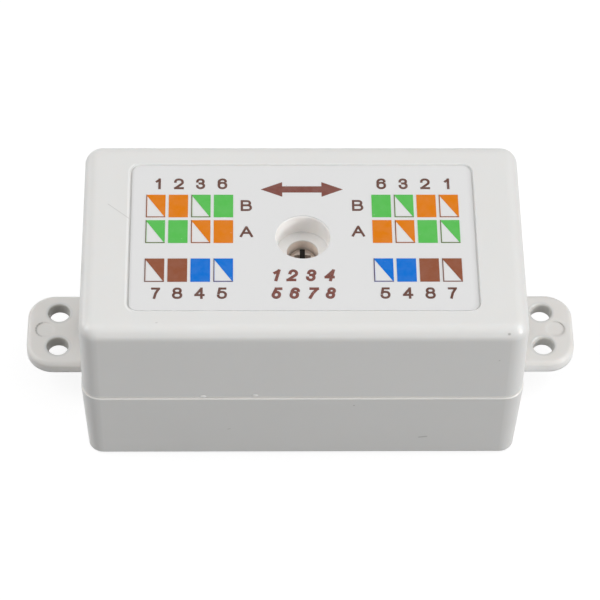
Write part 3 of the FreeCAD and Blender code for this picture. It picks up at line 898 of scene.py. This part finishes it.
def bridge(mesh, first, second):
    """Joins two closed rings of corners with faces. A ring may be one corner, repeated."""
    for index in range(len(first)):
        following = (index + 1) % len(first)
        corners = [first[index], first[following], second[following], second[index]]
        mesh.faces.new(list(dict.fromkeys(corners)))


def add_prism(mesh, lower, upper):
    """Adds a closed solid between two outlines in metres, which have as many corners."""
    ends = [[mesh.verts.new(corner) for corner in outline] for outline in (lower, upper)]
    for end_corners in ends:
        mesh.faces.new(end_corners)
    bridge(mesh, *ends)


arrow = bmesh.new()
add_prism(arrow, *[[(x * MM, y * MM, z) for x, y in outline]
                   for z in (film_top, film_top + INK_THICKNESS)])
new_piece("through_arrow", arrow, BOLD_INK)
print_texts("wire_numbers", [("1234", (0.0, -7.28), 2.2, 9.3, 0.25),
                             ("5678", (0.0, -10.6), 2.1, 9.3, 0.25)], BOLD_WEIGHT, BOLD_INK)

# %% [markdown]
# ## Outlines of the striped fields
# A striped wire has a field that is half white. A thin brown line is printed along the left and lower
# edge of each of these fields. The line is the same twelve times, so Geometry Nodes places it: the
# object's own mesh is only the middle points of the fields, and the tree puts the line on each point.

# %% Outlines
FIELD_WIDTH, FIELD_HEIGHT = 2.88, 4.35
FIELD_COLUMNS = (-21.90, -18.53, -15.16, -11.79, 11.79, 15.16, 18.53, 21.90)
FIELD_ROWS = {5.935: (0, 2, 5, 7), 1.005: (0, 2, 5, 7), -6.305: (0, 3, 4, 7)}
OUTLINE_LINE = 0.11


def set_on_points(tree, given, shape, **settings):
    """Sets a shape on each point of the object's own mesh. Returns the instances."""
    inputs = {"Points": given["Geometry"], "Instance": shape, **settings}
    return add(tree, "GeometryNodeInstanceOnPoints", inputs).outputs[0]


tree, given, end = new_geometry("field outline", ["Width", "Height", "Line", "Thickness"])
joined = add(tree, "GeometryNodeJoinGeometry")
for axis, width, height, across in (("X", "Line", "Height", "Width"),
                                    ("Y", "Width", "Line", "Height")):
    size = add(tree, "ShaderNodeCombineXYZ",
               {"X": given[width], "Y": given[height], "Z": given["Thickness"]})
    bar = add(tree, "GeometryNodeMeshCube", {"Size": size.outputs[0]})
    inset = calculate("MULTIPLY_ADD", given["Line"], 0.5, product(given[across], -0.5))
    offset = add(tree, "ShaderNodeCombineXYZ", {axis: inset})
    moved = add(tree, "GeometryNodeTransform",
                {"Geometry": bar.outputs["Mesh"], "Translation": offset.outputs[0]})
    tree.links.new(moved.outputs[0], joined.inputs[0])
close_geometry(tree, given, end, set_on_points(tree, given, joined.outputs[0]))

line_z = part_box("print_orange")[1].z + 0.005 * MM
middles = [(FIELD_COLUMNS[column] * MM, y * MM, line_z)
           for y, columns in FIELD_ROWS.items() for column in columns]
grow("field_outlines", middles, [], tree,
     {"Width": FIELD_WIDTH * MM, "Height": FIELD_HEIGHT * MM, "Line": OUTLINE_LINE * MM,
      "Thickness": 0.02 * MM}, line_ink)

# %% [markdown]
# ## Cover screw
# The CAD screw has the right sizes but no thread and a plain head. This one is turned in code: a
# profile of radius and height is spun round the axis, the recess is cut out of it, and a helix with a
# three-sided section becomes the thread. The recess is a cross with one long arm right across the head,
# so that a flat driver fits too. The long arm is painted nearly black as painted shade, by a mask by
# place and depth, and is rough and not metallic there.
# It takes the place of the CAD screw.

# %% Nickel-plated steel
ARM_WIDTH = 0.80
SLOT_SHADE_COLOUR = (0.012, 0.009, 0.006, 1)
STEEL_COLOUR = (0.56, 0.50, 0.455, 1)
screw_low, screw_high = (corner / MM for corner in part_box("cover_screw"))

steel, tree, shader, place = new_finish("nickel plated steel", Metallic=0.85)
metal = use_group(drawn_metal, place, Streaks=(900.0, 900.0, 5200.0), Colour=STEEL_COLOUR, Gloss=0.42)
spot = coordinates(place)
in_long_arm = fade(calculate("ABSOLUTE", spot["X"]), ARM_WIDTH / 2 + 0.02, ARM_WIDTH / 2 - 0.02)
# painted shade in the deep long arm of the recess, also made rough and not metallic there
slot_shade = product(in_long_arm, fade(spot["Z"], screw_high.z - 0.20, screw_high.z - 0.42))
dress(shader, metal, 4.0, mix_colour(slot_shade, metal["Colour"], SLOT_SHADE_COLOUR))
dulled = calculate("MULTIPLY_ADD", slot_shade, 0.5, metal["Roughness"])
tree.links.new(dulled, shader.inputs["Roughness"])
bare = calculate("MULTIPLY_ADD", slot_shade, -0.85, 0.85)
tree.links.new(bare, shader.inputs["Metallic"])
print(steel.name, "for a screw of", round(screw_high.z - screw_low.z, 2), "mm")

# %% Turned screw
SCREW_STEPS = 48
THREAD_PITCH = 1.1
THREAD_CORE = 1.02
THREAD_RADIUS, THREAD_RIDGE = 0.98, 0.30
THREAD_START = 0.4            # above the tip, in millimetres
CROSS_ARM, CROSS_DEPTH = 1.45, 1.15
SLOT_ARM, SLOT_DEPTH = 2.3, 0.75     # the long arm runs out through the side of the head

head_radius = screw_high.x
seat = screw_high.z - 1.7
profile = [(0, screw_low.z), (0.7, screw_low.z), (0.95, screw_low.z + 0.5),
           (THREAD_CORE, seat - 0.9), (1.28, seat - 0.7), (1.28, seat), (head_radius - 0.06, seat),
           (head_radius, seat + 0.08), (head_radius, seat + 0.72), (head_radius - 0.12, seat + 1.05),
           (head_radius - 0.42, seat + 1.36), (head_radius - 0.95, seat + 1.58),
           (0.6, screw_high.z - 0.01), (0, screw_high.z)]


def spin_profile(points, steps):
    """Spins a list of (radius, height) in millimetres round the Z axis into a closed bmesh."""
    turned = bmesh.new()
    angles = [2 * math.pi * step / steps for step in range(steps)]
    rings = []
    for radius, height in points:
        if radius == 0:
            rings.append([turned.verts.new((0, 0, height * MM))] * steps)
            continue
        rings.append([turned.verts.new((radius * MM * math.cos(angle), radius * MM * math.sin(angle),
                                        height * MM)) for angle in angles])
    for lower, upper in zip(rings, rings[1:]):
        bridge(turned, lower, upper)
    return turned


blank = keep_mesh("screw_blank", spin_profile(profile, SCREW_STEPS))
cross = bmesh.new()
arms = [(CROSS_ARM, 0.35, CROSS_DEPTH), (SLOT_ARM, SLOT_ARM, SLOT_DEPTH)]
for arm, (reach, foot_reach, depth) in enumerate(arms):
    side_view = [(-reach, screw_high.z + 0.1), (-foot_reach, screw_high.z - depth),
                 (foot_reach, screw_high.z - depth), (reach, screw_high.z + 0.1)]
    sides = [[(x, y, z) if arm == 0 else (-y, x, z) for x, z in side_view]
             for y in (-ARM_WIDTH / 2, ARM_WIDTH / 2)]
    add_prism(cross, *[[Vector(corner) * MM for corner in side] for side in sides])
cutter = keep_mesh("screw_cross", cross)
cut = blank.modifiers.new("cross", "BOOLEAN")
cut.operation = "DIFFERENCE"
cut.solver = "EXACT"
cut.use_self = True
cut.object = cutter
graph = bpy.context.evaluated_depsgraph_get()
head_mesh = bpy.data.meshes.new_from_object(blank.evaluated_get(graph))

# %% Thread
tree, given, end = new_geometry("thread", ["Pitch", "Turns", "Radius", "Ridge"])
rise = product(given["Pitch"], given["Turns"])
helix = add(tree, "GeometryNodeCurveSpiral",
            {"Resolution": 32, "Rotations": given["Turns"], "Start Radius": given["Radius"],
             "End Radius": given["Radius"], "Height": rise})
upright = add(tree, "GeometryNodeSetCurveNormal", {"Curve": helix.outputs[0]}, mode="Z_UP")
section = add(tree, "GeometryNodeCurvePrimitiveCircle", {"Resolution": 3, "Radius": given["Ridge"]})
close_geometry(tree, given, end, sweep(tree, upright, section))

thread_length = seat - 1.6 - screw_low.z
thread = grow("screw_thread", [], [], tree,
              {"Pitch": THREAD_PITCH * MM, "Turns": thread_length / THREAD_PITCH,
               "Radius": THREAD_RADIUS * MM, "Ridge": THREAD_RIDGE * MM}, steel)

turned_screw = bmesh.new()
turned_screw.from_mesh(thread.data)
bmesh.ops.translate(turned_screw, verts=turned_screw.verts,
                    vec=(0, 0, (screw_low.z + THREAD_START) * MM))
turned_screw.from_mesh(head_mesh)
for scratch in (thread, blank, cutter):
    bpy.data.objects.remove(scratch)
screw = new_piece("threaded_screw", turned_screw, steel)
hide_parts("cover_screw")

# %% [markdown]
# ## Beads on the parting line
# Just above the joint a few pale beads of plastic cling to the cover's lower edge, where the mould let a
# little through. They are painted whiter than the cover's plastic, as a painted highlight. Each is a small
# ball, pressed flat and of its own size, so one tree places them all with a fixed seed.

# %% Beads
BEAD_PLACES = ((-14.83, 15.38), (-7.13, 15.58))
BEAD_RADIUS = 0.30
# the beads' plastic painted whiter than the cover, as painted highlight
BEAD_HIGHLIGHT_COLOUR = (1.0, 0.98, 0.95, 1)
COVER_FRONT = -18.32

tree, given, end = new_geometry("parting beads", ["Radius"])
ball = add(tree, "GeometryNodeMeshIcoSphere", {"Radius": given["Radius"], "Subdivisions": 3})
random_scale = add(tree, "FunctionNodeRandomValue",
                   {0: (1.4, 0.40, 0.75), 1: (1.8, 0.50, 1.00), "Seed": 4},
                   data_type="FLOAT_VECTOR")
placed = set_on_points(tree, given, ball.outputs["Mesh"], Scale=random_scale.outputs[0])
close_geometry(tree, given, end, placed)
bead_finish = shell_plastic("bead plastic", BEAD_HIGHLIGHT_COLOUR, [])
bead_points = [(x * MM, COVER_FRONT * MM, z * MM) for x, z in BEAD_PLACES]
grow("parting_beads", bead_points, [], tree, {"Radius": BEAD_RADIUS * MM}, bead_finish)

# %% [markdown]
# ## Inside the box
# The cover hides the board, but the cable entries give a view of it, and the parts can be taken out. The
# board is green laminate, the blocks are a harder, black plastic, and the forked contacts are bare spring
# bronze, tinned only where they meet the board.

# %% Laminate
LAMINATE_GREENS = ((0.012, 0.10, 0.038, 1), (0.03, 0.19, 0.07, 1))

laminate, tree, shader, place = new_finish("green laminate", IOR=1.55, Roughness=0.34)
threads = [add(tree, "ShaderNodeTexWave",
               {"Vector": place, "Scale": 260.0, "Distortion": 1.2, "Detail": 1.0},
               bands_direction=direction).outputs["Fac"] for direction in "XY"]
cloth = calculate("ADD", *threads)
share = calculate("MULTIPLY_ADD", cloth, 0.12, noise(place, 120.0, 3.0))
coat(shader, mix_colour(share, *LAMINATE_GREENS), cloth, 6.0)
finish_node(laminate, "circuit_board")

# %% Blocks and contacts
BLOCK_COLOUR = (0.030, 0.030, 0.034, 1)
BRONZE_COLOUR = (0.72, 0.55, 0.33, 1)
TIN_COLOUR = (0.66, 0.67, 0.68, 1)
TIN_REACH = 0.6               # how far the tin fades out above the board, in millimetres

block_plastic, tree, shader, place = new_finish("block plastic", IOR=1.58, Specular_IOR_Level=0.5)
skin = use_group(moulded_skin, place, Colour=BLOCK_COLOUR, Clouds=0.10, Grain_scale=3200.0, Gloss=0.33)
rim = use_group(soft_edge, place, Radius=0.00012)
dress(shader, skin, 4.0, normal=rim["Normal"])

bronze, tree, shader, place = new_finish("spring bronze", Metallic=1.0)
metal = use_group(drawn_metal, place, Streaks=(5200.0, 5200.0, 350.0), Colour=BRONZE_COLOUR, Gloss=0.28)
board_bottom, board_top = (corner.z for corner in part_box("circuit_board"))
tinned = remap(coordinates(place)["Z"], board_top + TIN_REACH * MM, board_top)
dress(shader, metal, 3.0, mix_colour(tinned, metal["Colour"], TIN_COLOUR))

blocks = [name for name in cad_nodes if name.startswith("contact_block_")]
contacts = [name for name in cad_nodes if name.startswith("contact_") and name not in blocks]
finish_node(block_plastic, *blocks)
finish_node(bronze, *contacts)

# %% [markdown]
# ## Solder joints
# Every contact's tail comes out under the board in a small cone of solder. Its hollow flank is what a
# good joint looks like. The tree draws a short line downwards, gives it a radius that falls quickly at
# first, and runs a circle along it.

# %% Solder
SOLDER_COLOUR = (0.62, 0.63, 0.65, 1)
SOLDER_FOOT, SOLDER_DEPTH, TIP_SHARE = 0.85 * MM, 0.85 * MM, 0.38

solder, tree, shader, place = new_finish("solder", Metallic=1.0)
metal = use_group(drawn_metal, place, Streaks=(1800.0,) * 3, Colour=SOLDER_COLOUR, Gloss=0.26)
dress(shader, metal, 8.0)

tree, given, end = new_geometry("solder joint", ["Foot", "Depth", "Tip share"])
lower_end = add(tree, "ShaderNodeCombineXYZ", {"Z": product(given["Depth"], -1.0)})
stem = add(tree, "GeometryNodeCurvePrimitiveLine", {"End": lower_end.outputs[0]})
finer = add(tree, "GeometryNodeResampleCurve", {"Curve": stem.outputs[0], "Count": 8})
along = add(tree, "GeometryNodeSplineParameter").outputs["Factor"]
hollow = calculate("POWER", calculate("SUBTRACT", 1.0, along), 2.2)
rest = calculate("SUBTRACT", 1.0, given["Tip share"])
share = calculate("MULTIPLY_ADD", hollow, rest, given["Tip share"])
section = add(tree, "GeometryNodeCurvePrimitiveCircle", {"Resolution": 16, "Radius": given["Foot"]})
flank = sweep(tree, finer, section, Scale=share)
close_geometry(tree, given, end, set_on_points(tree, given, flank))

tails = []
for name in contacts:
    low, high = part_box(name)
    tails.append(((low.x + high.x) / 2, (low.y + high.y) / 2, board_bottom))
grow("solder_joints", tails, [], tree,
     {"Foot": SOLDER_FOOT, "Depth": SOLDER_DEPTH, "Tip share": TIP_SHARE}, solder)

# %% [markdown]
# ## Copper tracks
# Under the board, each contact on the left is joined to the one with the same number on the right. The
# numbers run outwards from the middle on both sides, so the eight tracks nest inside each other without
# crossing. Their corner points are worked out from the contacts; the tree rounds the corners and gives
# the lines the flat section of copper.

# %% Tracks
TRACK_WIDTH, TRACK_THICKNESS = 0.45 * MM, 0.035 * MM
TRACK_GREENS = ((0.05, 0.22, 0.07, 1), (0.09, 0.30, 0.10, 1))
FIRST_LANE, LANE_STEP = 3.1 * MM, 1.05 * MM   # lanes inwards from the row of tails

copper, tree, shader, place = new_finish("copper under mask", IOR=1.5, Roughness=0.3)
mottle = noise(place, 400.0, 2.0)
coat(shader, mix_colour(mottle, *TRACK_GREENS), mottle, 4.0)

tree, given, end = new_geometry("track", ["Width", "Thickness", "Corner"])
flat_strips(tree, given, end, given["Corner"], 4, False)

points, edges = [], []
left_tails = sorted(t for t in tails if t[0] < 0)
for x, y, z in left_tails:
    row = sorted(t[0] for t in left_tails if t[1] * y > 0)
    order = len(row) - 1 - row.index(x)
    lane = y - math.copysign(FIRST_LANE + LANE_STEP * order, y)
    track_z = board_bottom - TRACK_THICKNESS / 2
    first = len(points)
    points += [(x, y, track_z), (x, lane, track_z), (-x, lane, track_z), (-x, y, track_z)]
    edges += [(first, first + 1), (first + 1, first + 2), (first + 2, first + 3)]
grow("board_tracks", points, edges, tree,
     {"Width": TRACK_WIDTH, "Thickness": TRACK_THICKNESS, "Corner": 0.8 * MM}, copper)
